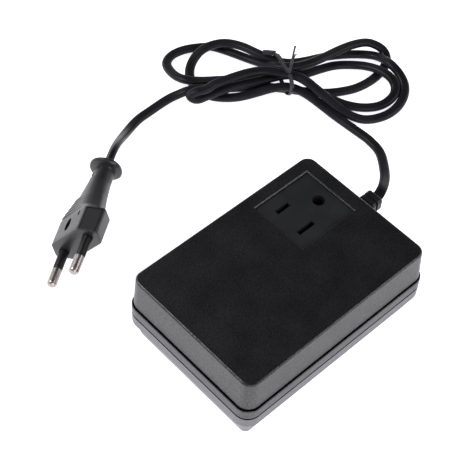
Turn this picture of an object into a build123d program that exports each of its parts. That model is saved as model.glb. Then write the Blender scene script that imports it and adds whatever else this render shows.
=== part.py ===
from build123d import *
import math
import os

# Travel voltage converter: a case with a transformer, an outlet in its top, and a bundled mains cord.
# Millimetres, +Z up. The origin is the middle of the case's underside, and +Y points to the cord's end.

# Case
top_width = 64.0
top_length = 92.5
case_height = 35.5
corner_radius = 4.2
least_radius = 0.5
upper_height = 15.2
rim_height = 5.2
rim_out = 1.75
upper_draft = 1.05
band_height = 5.5
band_step = 1.0
base_in = 1.7
wall = 2.0
top_thickness = 2.2
floor_thickness = 2.0
top_edge_round = 0.9
rim_edge_round = 0.6
seam_bevel = 0.3
base_edge_round = 0.8
tongue_height = 1.6
tongue_thickness = 1.1
fit_gap = 0.15
overrun = 1.0

# Outlet
outlet_from_side = 19.0
outlet_from_end = 20.85
outlet_plate_width = 26.0
outlet_plate_length = 28.2
slot_setback = 5.6
outlet_recess = 1.0
outlet_plate_thickness = 1.2
outlet_bevel = 0.45
outlet_ledge = 2.4
outlet_pad_thickness = 1.4
outlet_pad_width = 1.6
outlet_body_depth = 17.0
outlet_back_thickness = 1.6
outlet_front = 1.4
slot_spacing = 12.7
slot_width = 2.0
slot_short = 6.8
slot_long = 8.3
earth_offset = 13.4
earth_radius = 2.55
earth_depth = 14.0
snap_out = 0.8
snap_height = 2.0
snap_width = 8.0

# Outlet contacts and their chambers
blade_thickness = 1.5
leaf_thickness = 0.6
leaf_width = 7.0
leaf_height = 12.5
chamber_clearance = 0.9
tab_width = 4.0
tab_length = 5.0

# Screws
screw_radius = 1.3
screw_head_radius = 2.4
screw_head_height = 1.8
thread_gap = 0.05
case_screw_grip = 10.3
post_radius = 3.0
post_floor = 1.6
post_gap = 0.1
core_screw_floor = 1.5
core_screw_radius = 1.5
core_head_radius = 2.75
core_head_height = 2.0
core_head_round = 0.5
washer_thickness = 0.5
washer_radius = 3.3
back_screw_length = 8.0
back_screw_radius = 1.0
back_head_radius = 1.7
back_head_height = 1.2

# Transformer
core_side_room = 5.0
core_end_room = 9.75
core_outlet_gap = 5.35
bobbin_room_below = 0.2
bobbin_room_above = 1.5
legs_across = 6
core_hole_radius = 1.8
core_post_radius = 3.6
bobbin_wall = 1.0
bobbin_gap = 0.2
bobbin_flange_over = 0.4
bobbin_flange_side = 1.4
tape_build = 0.4
terminal_size = 1.0
terminal_length = 5.5
terminal_spacing = 8.0
terminal_count = 4
fuse_radius = 1.9
fuse_bevel = 0.475
fuse_from_edge = 5.8
fuse_length_share = 0.33
fuse_lead_share = 0.1
fuse_gap_share = 0.14

# Wires
wire_radius = 0.6
wire_bend = 1.8
wire_lift = 2.4
wire_side_gap = 2.1
wire_edge_gap = 1.5
corner_share = 0.45

# Strain relief
relief_from_side = 28.4
relief_down = 10.7
relief_width = 7.6
relief_height = 6.2
relief_reach = 10.2
relief_round = 1.4
relief_neck_width = 5.6
relief_neck_height = 5.0
relief_flange = 1.0
relief_flange_thickness = 1.4
relief_inside = 2.6
relief_groove = 0.7
relief_groove_width = 1.1
relief_groove_shares = (0.36, 0.62)
cord_tail = 1.2

# Cord
cord_diameter = 3.4
cord_bore_gap = 0.05
lead_straight = 5.0
lead_landing = 9.0
tail_start = 6.5
tail_landing = 6.8

# Plug
plug_front = (-71.1, -42.4, 13.25)
plug_axis = (0.533, -0.842, -0.083)
plug_across = (0.529, 0.255, 0.81)
plug_half_width = 15.9
plug_half_thickness = 5.9
plug_face_half = 10.6
plug_end_half = 0.5
plug_straight = 11.4
plug_length = 42.0
plug_boot_share = 0.8
plug_neck_half = 4.3
plug_neck_thick = 4.1
flange_half_width = 7.9
flange_half_thickness = 6.6
flange_thickness = 2.2
flange_setback = 2.2
carrier_width = 6.6
carrier_length = 10.6
carrier_recess = 0.3
carrier_depth = 1.9
hole_back = 6.6
hole_off_middle = 0.9
hole_long = 5.6
hole_wide = 2.6
hole_depth = 1.4
rib_start = 13.4
rib_height = 0.5
rib_width = 0.95
rib_pitch = 1.75
rib_steps = 5
pin_radius = 2.0
pin_length = 17.0
pin_bare = 7.9
pin_root = 8.0
pin_core_radius = 1.4
pin_root_radius = 1.65
pin_spacing_root = 18.8
pin_spacing_tip = 17.6
pin_tip_round = 1.5
sleeve_root = 3.0
sleeve_radius = 1.75

# Each section of the plug's grip is its distance behind the front, the half width and the broad face's
# half on the ribbed side, the same two on the carrier's side, the half thickness, and half of a narrow end
grip_sections = (
    (15.3, 15.3, 10.1, 9.6, 5.2, 5.5, 0.8),
    (23.0, 8.6, 5.2, 7.0, 3.6, 4.9, 1.2),
    (30.5, 5.8, 3.0, 4.8, 2.4, 4.35, 1.5))

# Twist tie
tie_width = 3.0
tie_thickness = 0.7
tie_inner_width = 14.8
tie_inner_height = 11.0
tie_inner_round = 2.5
tie_low = 0.8
tie_shift = 0.2
tie_twist_radius = 1.0
tie_tail_radius = 0.45

# Each point of the tie's twist and tails is right, up and height above the band, in the hank's axes
twist_points = ((0, -5.8, 0), (0.9, -4.0, 1.6), (2.0, -1.2, 4.0))
long_tail_points = ((1.8, -1.8, 3.4), (2.4, 0.2, 6.4), (3.2, 2.6, 9.4))
short_tail_points = ((1.8, -1.8, 3.4), (2.8, 1.0, 3.6), (4.1, 4.7, 2.0))

os.makedirs("parts", exist_ok=True)


def outline(z, grow):
    """The case's rounded rectangle at height z, grown by so much on each side."""
    with BuildSketch(Plane.XY.offset(z)) as face:
        radius = max(corner_radius + grow, least_radius)
        RectangleRounded(top_width + 2 * grow, top_length + 2 * grow, radius)
    return face.sketch


def keep(piece, name):
    """Label a finished piece and write it."""
    piece.part.label = name
    export_step(piece.part, "parts/" + name + ".step")


# Places that follow from the sizes above
ledge_z = case_height - upper_height
seam_z = ledge_z - rim_height
outlet_x = outlet_from_side - top_width / 2
outlet_plate_y = top_length / 2 - outlet_from_end
outlet_slot_y = outlet_plate_y - slot_setback
relief_x = relief_from_side - top_width / 2
relief_z = case_height - relief_down
inner_top = case_height - top_thickness
base_half_width = top_width / 2 - base_in - wall
base_half_length = top_length / 2 - base_in - wall
post_x = base_half_width - post_radius + least_radius
post_y = base_half_length - post_radius + least_radius
post_places = [(post_x * side, post_y * end) for side in (-1, 1) for end in (-1, 1)]
plate_top = case_height - outlet_recess
plate_bottom = plate_top - outlet_plate_thickness
pad_bottom = plate_bottom - outlet_pad_thickness
body_width = outlet_plate_width - 2 * outlet_ledge - 2 * fit_gap
body_length = outlet_plate_length - 2 * outlet_ledge - 2 * fit_gap
body_bottom = plate_bottom - outlet_body_depth
back_bottom = body_bottom - outlet_back_thickness
slot_places = [(outlet_x - slot_spacing / 2, outlet_slot_y), (outlet_x + slot_spacing / 2, outlet_slot_y)]
earth_place = (outlet_x, outlet_slot_y + earth_offset)
core_width = top_width - 2 * core_side_room
core_leg = core_width / legs_across
core_front = core_end_room - top_length / 2
core_back = outlet_plate_y - body_length / 2 - core_outlet_gap
core_length = core_back - core_front
core_y = (core_front + core_back) / 2
bore_x = core_leg + bobbin_gap
tube_x = bore_x + bobbin_wall
flange_x = 2 * core_leg - bobbin_gap
winding_build = (flange_x - tube_x - bobbin_flange_side) / 2 - tape_build
flange_z = (inner_top - floor_thickness - bobbin_room_below - bobbin_room_above) / 2
middle_z = floor_thickness + bobbin_room_below + flange_z
winding_room = 2 * winding_build + 2 * tape_build + bobbin_flange_over
core_stack = 2 * (flange_z - winding_room - bobbin_wall - bobbin_gap)
core_z = middle_z - core_stack / 2
core_top = core_z + core_stack
core_hole_x = core_width / 2 - core_leg / 2
core_hole_y = core_length / 2 - core_leg / 2
core_holes = [(core_hole_x * side, core_y + core_hole_y * end) for side in (-1, 1) for end in (-1, 1)]
relief_low = relief_z - relief_height / 2 - relief_flange
relief_high = relief_z + relief_height / 2
wall_y = top_length / 2 + upper_draft * (case_height - relief_low) / (case_height - ledge_z)
inner_wall_y = top_length / 2 - wall + upper_draft * (inner_top - relief_high) / (inner_top - seam_z)

# Top shell: drafted upper body on a wider rim, hollow, with the outlet's window
with BuildPart() as rim:
    add(extrude(outline(seam_z, rim_out), ledge_z - seam_z, mode=Mode.PRIVATE))
    fillet(rim.faces().sort_by(Axis.Z)[-1].edges(), rim_edge_round)
    chamfer(rim.faces().sort_by(Axis.Z)[0].edges(), seam_bevel)
with BuildPart() as top_shell:
    loft([outline(ledge_z, upper_draft), outline(case_height, 0)], ruled=True)
    fillet(top_shell.faces().sort_by(Axis.Z)[-1].edges(), top_edge_round)
    add(rim.part)
    add(loft([outline(seam_z, upper_draft - wall), outline(inner_top, -wall)], ruled=True, mode=Mode.PRIVATE),
        mode=Mode.SUBTRACT)
    add(extrude(outline(seam_z, upper_draft - wall + tongue_thickness + fit_gap),
                tongue_height + fit_gap, mode=Mode.PRIVATE), mode=Mode.SUBTRACT)
    # bosses that take the case screws
    with BuildSketch(Plane.XY.offset(seam_z + post_gap)):
        with Locations(post_places):
            Circle(post_radius)
    extrude(amount=inner_top - seam_z)
    # pad round the outlet's window
    with BuildSketch(Plane.XY.offset(pad_bottom)):
        with Locations((outlet_x, outlet_plate_y)):
            Rectangle(outlet_plate_width + 2 * outlet_pad_width, outlet_plate_length + 2 * outlet_pad_width)
    extrude(amount=outlet_pad_thickness + outlet_plate_thickness)
    # window, seat of the outlet's plate and its bevelled edge
    with BuildSketch(Plane.XY.offset(pad_bottom - overrun)):
        with Locations((outlet_x, outlet_plate_y)):
            Rectangle(outlet_plate_width - 2 * outlet_ledge, outlet_plate_length - 2 * outlet_ledge)
    extrude(amount=case_height, mode=Mode.SUBTRACT)
    with BuildSketch(Plane.XY.offset(plate_bottom)):
        with Locations((outlet_x, outlet_plate_y)):
            Rectangle(outlet_plate_width, outlet_plate_length)
    extrude(amount=case_height, mode=Mode.SUBTRACT)
    mouth = top_shell.faces().sort_by(Axis.Z)[-1].inner_wires()[0].edges()
    chamfer(mouth, outlet_bevel)
    # screw pilots
    with BuildSketch(Plane.XY.offset(seam_z)):
        with Locations(post_places):
            Circle(screw_radius + thread_gap)
    extrude(amount=inner_top - seam_z - post_floor, mode=Mode.SUBTRACT)
    # hole for the strain relief's neck
    with BuildSketch(Plane.XZ.offset(overrun - inner_wall_y)):
        with Locations((relief_x, relief_z)):
            Rectangle(relief_neck_width + 2 * fit_gap, relief_neck_height + 2 * fit_gap)
    extrude(amount=inner_wall_y - wall_y - 2 * overrun, mode=Mode.SUBTRACT)
keep(top_shell, "top_shell")

# Bottom shell: drafted tray with a stepped band under the seam and a tongue inside it
with BuildPart() as band:
    add(extrude(outline(seam_z - band_height, rim_out), band_height, mode=Mode.PRIVATE))
    chamfer(band.faces().sort_by(Axis.Z)[-1].edges(), seam_bevel)
    fillet(band.faces().sort_by(Axis.Z)[0].edges(), seam_bevel)
with BuildPart() as bottom_shell:
    loft([outline(0, -base_in), outline(seam_z - band_height, rim_out - band_step)], ruled=True)
    fillet(bottom_shell.faces().sort_by(Axis.Z)[0].edges(), base_edge_round)
    add(band.part)
    add(extrude(outline(seam_z, upper_draft - wall + tongue_thickness), tongue_height, mode=Mode.PRIVATE))
    add(loft([outline(floor_thickness, -base_in - wall), outline(seam_z + tongue_height, upper_draft - wall)],
             ruled=True, mode=Mode.PRIVATE), mode=Mode.SUBTRACT)
    # posts for the case screws and pillars for the transformer
    with BuildSketch(Plane.XY.offset(floor_thickness)):
        with Locations(post_places):
            Circle(post_radius)
    extrude(amount=seam_z - floor_thickness)
    with BuildSketch(Plane.XY.offset(floor_thickness)):
        with Locations(core_holes):
            Circle(core_post_radius)
    extrude(amount=core_z - floor_thickness)
    # ways and countersunk seats of the case screws
    with BuildSketch(Plane.XY):
        with Locations(post_places):
            Circle(screw_radius + fit_gap)
    extrude(amount=seam_z, mode=Mode.SUBTRACT)
    with BuildSketch(Plane.XY):
        with Locations(post_places):
            Circle(screw_head_radius)
    extrude(amount=screw_head_height + post_floor, mode=Mode.SUBTRACT)
    # pilots in the transformer's pillars
    with BuildSketch(Plane.XY.offset(core_z)):
        with Locations(core_holes):
            Circle(core_screw_radius + thread_gap)
    extrude(amount=floor_thickness - core_z, mode=Mode.SUBTRACT)
keep(bottom_shell, "bottom_shell")

# Case screws, driven up from below
case_screw_seat = screw_head_height + post_floor
case_screw_length = seam_z + case_screw_grip - case_screw_seat
with BuildPart() as case_screws:
    with BuildSketch(Plane.XY.offset(post_floor)):
        with Locations(post_places):
            Circle(screw_head_radius - fit_gap)
    extrude(amount=screw_head_height)
    with BuildSketch(Plane.XY.offset(case_screw_seat)):
        with Locations(post_places):
            Circle(screw_radius)
    extrude(amount=case_screw_length)
    with BuildSketch(Plane.XY.offset(post_floor)):
        with Locations(post_places):
            Rectangle(2 * screw_radius, wire_radius)
            Rectangle(wire_radius, 2 * screw_radius)
    extrude(amount=screw_head_height / 2, mode=Mode.SUBTRACT)
keep(case_screws, "case_screws")

# Outlet face: plate with the slots and earth hole, on a block with two chambers for the contacts
chamber_width = blade_thickness + 2 * leaf_thickness + 2 * chamber_clearance
chamber_length = leaf_width + 2 * chamber_clearance
back_screw_x = body_width / 2 - back_head_radius
back_screw_y = outlet_plate_y + body_length / 2 - back_head_radius
back_screws_at = [(outlet_x + back_screw_x * side, back_screw_y) for side in (-1, 1)]
with BuildPart() as outlet_face:
    with BuildSketch(Plane.XY.offset(plate_bottom)):
        with Locations((outlet_x, outlet_plate_y)):
            Rectangle(outlet_plate_width - 2 * fit_gap, outlet_plate_length - 2 * fit_gap)
    extrude(amount=outlet_plate_thickness)
    with BuildSketch(Plane.XY.offset(body_bottom)):
        with Locations((outlet_x, outlet_plate_y)):
            Rectangle(body_width, body_length)
    extrude(amount=outlet_body_depth)
    # snap wedges that catch under the pad
    for side in (-1, 1):
        edge_y = outlet_plate_y + side * body_length / 2
        with BuildSketch(Plane.YZ.offset(outlet_x - snap_width / 2)):
            with BuildLine():
                Polyline((edge_y, pad_bottom - fit_gap), (edge_y + side * snap_out, pad_bottom - fit_gap),
                         (edge_y, pad_bottom - fit_gap - snap_height), close=True)
            make_face()
        extrude(amount=snap_width)
    # slots, each with its chamber behind
    for place, length in zip(slot_places, (slot_short, slot_long)):
        with BuildSketch(Plane.XY.offset(body_bottom)):
            with Locations(place):
                Rectangle(slot_width, length)
        extrude(amount=case_height, mode=Mode.SUBTRACT)
        with BuildSketch(Plane.XY.offset(body_bottom)):
            with Locations(place):
                Rectangle(chamber_width, chamber_length)
        extrude(amount=outlet_body_depth - outlet_front, mode=Mode.SUBTRACT)
    # blind earth hole
    with BuildSketch(Plane.XY.offset(plate_top - earth_depth)):
        with Locations(earth_place):
            Circle(earth_radius)
    extrude(amount=earth_depth + overrun, mode=Mode.SUBTRACT)
    # pilots for the back cover's screws
    with BuildSketch(Plane.XY.offset(body_bottom)):
        with Locations(back_screws_at):
            Circle(back_screw_radius + thread_gap)
    extrude(amount=back_screw_length, mode=Mode.SUBTRACT)
keep(outlet_face, "outlet_face")

# Outlet back cover
with BuildPart() as outlet_back:
    with BuildSketch(Plane.XY.offset(back_bottom)):
        with Locations((outlet_x, outlet_plate_y)):
            Rectangle(body_width, body_length)
        with Locations(slot_places):
            Rectangle(leaf_thickness + 2 * fit_gap, tab_width + 2 * fit_gap, mode=Mode.SUBTRACT)
        with Locations(back_screws_at):
            Circle(back_screw_radius + fit_gap, mode=Mode.SUBTRACT)
    extrude(amount=outlet_back_thickness)
keep(outlet_back, "outlet_back")

with BuildPart() as outlet_back_screws:
    with BuildSketch(Plane.XY.offset(back_bottom - back_head_height)):
        with Locations(back_screws_at):
            Circle(back_head_radius)
    extrude(amount=back_head_height)
    with BuildSketch(Plane.XY.offset(back_bottom)):
        with Locations(back_screws_at):
            Circle(back_screw_radius)
    extrude(amount=outlet_back_thickness + back_screw_length - overrun)
keep(outlet_back_screws, "outlet_back_screws")


def contact(place):
    """A brass contact: two leaves on a foot, with a solder tab through the back cover."""
    x, y = place
    with BuildPart() as piece:
        with BuildSketch(Plane.XY.offset(body_bottom)):
            with Locations((x, y)):
                Rectangle(blade_thickness + 2 * leaf_thickness, leaf_width)
        extrude(amount=leaf_height)
        with BuildSketch(Plane.XY.offset(body_bottom + leaf_thickness)):
            with Locations((x, y)):
                Rectangle(blade_thickness, leaf_width)
        extrude(amount=leaf_height, mode=Mode.SUBTRACT)
        with BuildSketch(Plane.XY.offset(body_bottom)):
            with Locations((x, y)):
                Rectangle(leaf_thickness, tab_width)
        extrude(amount=-tab_length)
        tip = piece.faces().sort_by(Axis.Z)[0].edges().group_by(SortBy.LENGTH)[0]
        chamfer(tip, leaf_thickness)
    return piece


line_contact = contact(slot_places[0])
keep(line_contact, "line_contact")
neutral_contact = contact(slot_places[1])
keep(neutral_contact, "neutral_contact")

# Transformer core: an E stack and an I stack
half_length = core_length / 2
window_length = core_length - 2 * core_leg
with BuildPart() as core_e_stack:
    with BuildSketch(Plane.XY.offset(core_z)):
        with Locations((0, core_y - core_leg / 2)):
            Rectangle(core_width, core_length - core_leg)
        for side in (-1, 1):
            with Locations((side * (core_leg + core_leg / 2), core_y)):
                Rectangle(core_leg, window_length, mode=Mode.SUBTRACT)
        with Locations(core_holes):
            Circle(core_hole_radius, mode=Mode.SUBTRACT)
    extrude(amount=core_stack)
keep(core_e_stack, "core_e_stack")

with BuildPart() as core_i_stack:
    with BuildSketch(Plane.XY.offset(core_z)):
        with Locations((0, core_y + half_length - core_leg / 2)):
            Rectangle(core_width, core_leg)
        with Locations(core_holes):
            Circle(core_hole_radius, mode=Mode.SUBTRACT)
    extrude(amount=core_stack)
keep(core_i_stack, "core_i_stack")

# Core screws and washers
core_screw_length = core_top + washer_thickness - floor_thickness - core_screw_floor
with BuildPart() as core_washers:
    with BuildSketch(Plane.XY.offset(core_top)):
        with Locations(core_holes):
            Circle(washer_radius)
            Circle(core_screw_radius + fit_gap, mode=Mode.SUBTRACT)
    extrude(amount=washer_thickness)
keep(core_washers, "core_washers")

with BuildPart() as core_screws:
    with BuildSketch(Plane.XY.offset(core_top + washer_thickness)):
        with Locations(core_holes):
            Circle(core_head_radius)
    extrude(amount=core_head_height)
    fillet(core_screws.faces().group_by(Axis.Z)[-1].edges(), core_head_round)
    with BuildSketch(Plane.XY.offset(core_top + washer_thickness)):
        with Locations(core_holes):
            Circle(core_screw_radius)
    extrude(amount=-core_screw_length)
    with BuildSketch(Plane.XY.offset(core_top + washer_thickness + core_head_height)):
        with Locations(core_holes):
            Rectangle(2 * core_screw_radius, wire_radius)
            Rectangle(wire_radius, 2 * core_screw_radius)
    extrude(amount=-core_head_height / 2, mode=Mode.SUBTRACT)
keep(core_screws, "core_screws")

# Bobbin and windings, wound round the middle leg along Y
bore_z = core_stack / 2 + bobbin_gap
tube_z = bore_z + bobbin_wall
spool_length = window_length - 2 * bobbin_gap
winding_length = spool_length - 2 * bobbin_wall - 2 * fit_gap
spool_start = core_y - spool_length / 2


def coil_ring(inner_x, inner_z, build, length):
    """A layer of the winding: a ring of this build round the bobbin's tube, centred on the core."""
    with BuildPart() as ring:
        with BuildSketch(Plane.XZ.offset(-core_y - length / 2)):
            with Locations((0, middle_z)):
                RectangleRounded(2 * (inner_x + build), 2 * (inner_z + build), build)
                Rectangle(2 * inner_x, 2 * inner_z, mode=Mode.SUBTRACT)
        extrude(amount=length)
    return ring


with BuildPart() as bobbin:
    with BuildSketch(Plane.XZ.offset(-core_y - spool_length / 2)):
        with Locations((0, middle_z)):
            Rectangle(2 * tube_x, 2 * tube_z)
            Rectangle(2 * bore_x, 2 * bore_z, mode=Mode.SUBTRACT)
    extrude(amount=spool_length)
    for start in (spool_start + bobbin_wall, spool_start + spool_length):
        with BuildSketch(Plane.XZ.offset(-start)):
            with Locations((0, middle_z)):
                Rectangle(2 * flange_x, 2 * flange_z)
                Rectangle(2 * tube_x, 2 * tube_z, mode=Mode.SUBTRACT)
        extrude(amount=bobbin_wall)
keep(bobbin, "bobbin")

winding_inner = coil_ring(tube_x, tube_z, winding_build, winding_length)
keep(winding_inner, "winding_inner")
second_x = tube_x + winding_build
second_z = tube_z + winding_build
winding_tape = coil_ring(second_x, second_z, tape_build, winding_length)
keep(winding_tape, "winding_tape")
winding_outer = coil_ring(second_x + tape_build, second_z + tape_build, winding_build, winding_length)
keep(winding_outer, "winding_outer")
outer_x = second_x + tape_build + winding_build
outer_z = second_z + tape_build + winding_build
outer_tape = coil_ring(outer_x, outer_z, tape_build, winding_length)
keep(outer_tape, "outer_tape")

# Terminals on the bobbin's near flange, above the core
terminal_z = middle_z + flange_z - 2 * terminal_size
terminal_y = spool_start + spool_length
terminal_end = terminal_y + terminal_length
terminal_xs = [terminal_spacing * (index - (terminal_count - 1) / 2) for index in range(terminal_count)]
with BuildPart() as bobbin_terminals:
    with BuildSketch(Plane.XZ.offset(-terminal_y)):
        with Locations([(x, terminal_z) for x in terminal_xs]):
            Circle(terminal_size / 2)
    extrude(amount=-terminal_length)
keep(bobbin_terminals, "bobbin_terminals")

# Thermal fuse, lying on the core's side leg between its screws
clear_run = 2 * (core_hole_y - core_head_radius)
fuse_length = clear_run * fuse_length_share
turn_y = core_y - clear_run / 2 + clear_run * fuse_gap_share
fuse_x = core_width / 2 - fuse_from_edge
fuse_y = turn_y + clear_run * fuse_lead_share + fuse_length / 2
fuse_z = core_top + fuse_radius
with BuildPart() as thermal_fuse:
    with BuildSketch(Plane.XZ.offset(-fuse_y - fuse_length / 2)):
        with Locations((fuse_x, fuse_z)):
            Circle(fuse_radius)
    extrude(amount=fuse_length)
    chamfer(thermal_fuse.edges().filter_by(GeomType.CIRCLE), fuse_bevel)
keep(thermal_fuse, "thermal_fuse")


def corner_radii(points, most):
    """The largest arc that each corner's two runs allow, up to a given radius."""
    vectors = [Vector(*point) for point in points]
    radii = []
    for before, corner, after in zip(vectors, vectors[1:], vectors[2:]):
        run = min((corner - before).length, (after - corner).length)
        turn = math.radians((corner - before).get_angle(after - corner))
        radii.append(min(corner_share * run / math.tan(turn / 2), most))
    return radii


def tube(points, radius, most=math.inf):
    """A round wire along straight runs joined by tangent arcs, with its bends' radii and its length."""
    radii = corner_radii(points, most)
    with BuildPart() as piece:
        with BuildLine() as route:
            FilletPolyline(*points, radius=radii)
        path = route.wire()
        with BuildSketch(Plane(origin=path @ 0, z_dir=path % 0)):
            Circle(radius)
        sweep(path=path)
    return piece, radii, path.length


# Wires from the terminals to the contacts
tab_end = body_bottom - tab_length
under_z = floor_thickness + wire_lift
gap_y = (core_y + half_length + outlet_plate_y - body_length / 2) / 2
for name, terminal, place in (("wire_out_line", terminal_xs[0], slot_places[0]),
                              ("wire_out_neutral", terminal_xs[1], slot_places[1])):
    x, y = place
    wire = tube(
        [(terminal, terminal_end, terminal_z), (terminal, gap_y, terminal_z), (terminal, gap_y, under_z),
         (x, y, under_z), (x, y, tab_end)], wire_radius, most=wire_bend)[0]
    keep(wire, name)

# End of the cord inside the strain relief
relief_end = wall_y + relief_reach
relief_in = inner_wall_y - relief_inside
tail_end = relief_in - cord_tail
with BuildPart() as cord_tail_end:
    with BuildSketch(Plane.XZ.offset(-tail_end)):
        with Locations((relief_x, relief_z)):
            Circle(cord_diameter / 2)
    extrude(amount=tail_end - relief_end)
keep(cord_tail_end, "cord_inside_relief")

# Wires from the cord to the fuse and the terminals
core_pair = cord_diameter / 4
upper_z = relief_z + core_pair
lower_z = relief_z - core_pair
run_y = outlet_plate_y + body_length / 2 + wire_side_gap
clear_y = outlet_plate_y - body_length / 2
over_z = core_top + washer_thickness + core_head_height + wire_lift
head_y = core_y + core_hole_y
wire_in_neutral = tube(
    [(relief_x, tail_end, upper_z), (relief_x, run_y, upper_z), (terminal_xs[2], run_y, upper_z),
     (terminal_xs[2], clear_y, terminal_z), (terminal_xs[2], terminal_end, terminal_z)],
    wire_radius, most=wire_bend)[0]
keep(wire_in_neutral, "wire_in_neutral")
wire_in_line = tube(
    [(relief_x, tail_end, lower_z), (relief_x, run_y, lower_z), (terminal_xs[3], run_y, lower_z),
     (fuse_x, outlet_plate_y, lower_z), (fuse_x, clear_y, over_z), (fuse_x, head_y - core_head_radius, over_z),
     (fuse_x, fuse_y + fuse_length, fuse_z), (fuse_x, fuse_y + fuse_length / 2, fuse_z)],
    wire_radius, most=wire_bend)[0]
keep(wire_in_line, "wire_in_line")
edge_x = core_hole_x + core_head_radius + wire_edge_gap
wire_fuse_out = tube(
    [(fuse_x, fuse_y - fuse_length / 2, fuse_z), (fuse_x, turn_y, fuse_z), (edge_x, turn_y, fuse_z),
     (edge_x, gap_y, fuse_z), (terminal_xs[3], gap_y, terminal_z), (terminal_xs[3], terminal_end, terminal_z)],
    wire_radius, most=wire_bend)[0]
keep(wire_fuse_out, "wire_fuse_out")

# Strain relief: a ribbed bushing through the far wall
with BuildPart() as strain_relief:
    with BuildSketch(Plane.XZ.offset(-wall_y)):
        with Locations((relief_x, relief_z)):
            RectangleRounded(relief_width, relief_height, relief_round)
    extrude(amount=-relief_reach)
    fillet(strain_relief.faces().sort_by(Axis.Y)[-1].edges(), relief_round / 2)
    with BuildSketch(Plane.XZ.offset(-wall_y)):
        with Locations((relief_x, relief_z)):
            RectangleRounded(relief_width + 2 * relief_flange, relief_height + 2 * relief_flange, relief_round)
    extrude(amount=-relief_flange_thickness)
    # grooves that let the bushing flex
    for share in relief_groove_shares:
        with BuildSketch(Plane.XZ.offset(-wall_y - relief_reach * share)):
            with Locations((relief_x, relief_z)):
                Rectangle(2 * relief_width, 2 * relief_height)
                RectangleRounded(relief_width - 2 * relief_groove, relief_height - 2 * relief_groove,
                                 relief_round / 2, mode=Mode.SUBTRACT)
        extrude(amount=-relief_groove_width, mode=Mode.SUBTRACT)
    # neck through the wall and the barb behind it
    with BuildSketch(Plane.XZ.offset(-wall_y)):
        with Locations((relief_x, relief_z)):
            Rectangle(relief_neck_width, relief_neck_height)
    extrude(amount=wall_y - relief_in)
    with BuildSketch(Plane.XZ.offset(fit_gap - inner_wall_y)):
        with Locations((relief_x, relief_z)):
            Rectangle(relief_width, relief_height)
    extrude(amount=relief_inside - fit_gap)
    with BuildSketch(Plane.XZ.offset(-relief_in + overrun)):
        with Locations((relief_x, relief_z)):
            Circle(cord_diameter / 2 + cord_bore_gap)
    extrude(amount=relief_in - relief_end - 2 * overrun, mode=Mode.SUBTRACT)
keep(strain_relief, "strain_relief")


# Hank: a loose figure of eight, tied at its waist
hank_middle = Vector(-89.2, 92.5, 0)
hank_right = Vector(0.68, 0.7332, 0)
hank_up = Vector(-0.7332, 0.68, 0)
layer = 1.8
waist_low = 2.7
waist_mid = 6.2
waist_high = 9.6
waist_half = 3.0
arc_lift = 1.06
neighbour_share = 4.0
dots_per_arc = 6
straight_limit = 1e-4


def hank_point(right, up, height):
    """A place in the hank from its own axes."""
    return hank_middle + hank_right * right + hank_up * up + Vector(0, 0, height)


def waist(up, height, heading):
    """The two knots of a straight pass through the tie."""
    start = waist_half if heading == 180 else -waist_half
    return [(start, up, height, heading), (-start, up, height, heading)]


# Each knot is right, up, height and heading in degrees; the cord runs through all of them in turn
left_loop_wide = [
    (-14.9, -8.2, 6.8, 199), (-28.0, -11.4, layer, 179), (-38.3, -9.7, layer, 140), (-43.9, 1.5, layer, 92),
    (-39.5, 13.0, 5.0, 50), (-28.0, 18.8, 6.0, 0), (-12.9, 13.1, 6.5, -32)]
right_loop_wide = [
    (15.0, 13.2, 3.6, 27), (31.0, 18.6, layer, 0), (46.3, 10.9, 6.2, -45), (54.4, -3.0, 3.0, -89),
    (36.0, -21.8, layer, 180), (19.9, -15.8, 7.8, 138)]
left_fold = [
    (-14.4, -4.2, 9.3, 204), (-29.0, -9.8, 6.9, 200), (-39.3, -18.3, 3.8, 188), (-44.6, -14.3, 6.7, 89),
    (-40.0, -9.7, 9.7, 21), (-27.0, -3.2, 6.1, 19)]
right_loop_low = [
    (14.8, -4.9, 6.0, -54), (24.1, -13.2, 3.6, -19), (36.0, -15.0, layer, 0), (50.1, -4.5, 3.6, 89),
    (42.0, 5.0, 5.9, 145), (27.5, 11.0, 2.4, 180)]
left_loop_long = [
    (-20.1, 0.7, layer, 188), (-33.9, -2.1, 3.3, 186), (-43.6, -3.9, 5.9, 175), (-54.8, 7.5, 2.6, 90),
    (-43.0, 21.0, layer, 20), (-27.0, 18.1, layer, -27), (-14.6, 7.9, 6.7, -46)]
right_loop_high = [
    (18.0, 9.6, 8.2, 30), (39.0, 21.5, 6.6, 9), (48.8, 16.7, 2.8, -89), (42.0, 5.4, layer, 222),
    (27.9, -3.4, layer, 203), (10.1, -7.4, layer, 182)]
hank_knots = [(33.5, -31.5, layer, 138), (18.0, -20.5, 4.4, 147)]
hank_knots += waist(-2.8, waist_mid, 180) + left_loop_wide
hank_knots += waist(5.2, waist_mid, 0) + right_loop_wide
hank_knots += waist(-0.8, waist_high, 180) + left_fold
hank_knots += waist(1.2, waist_mid, 0) + right_loop_low
hank_knots += waist(3.2, waist_low, 180) + left_loop_long
hank_knots += waist(3.2, waist_high, 0) + right_loop_high
hank_knots += waist(-4.8, waist_low, 180)
hank_knots += [
    (-19.8, -3.7, layer, 180), (-31.0, -5.9, 2.7, 185), (-41.0, -8.0, 5.9, 188), (-53.0, -14.4, 2.5, 214)]


def slope_at(index):
    """The cord's rise per step at a knot: level at both ends, in the tie, and on each top and bottom."""
    knot = hank_knots[index]
    if index in (0, len(hank_knots) - 1) or abs(knot[0]) == waist_half:
        return 0
    slopes = []
    for low, high in ((index - 1, index), (index, index + 1)):
        first, second = hank_knots[low], hank_knots[high]
        slopes.append((second[2] - first[2]) / (arc_lift * math.dist(first[:2], second[:2])))
    product = slopes[0] * slopes[1]
    return 0 if product <= 0 else 2 * product / (slopes[0] + slopes[1])


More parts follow.
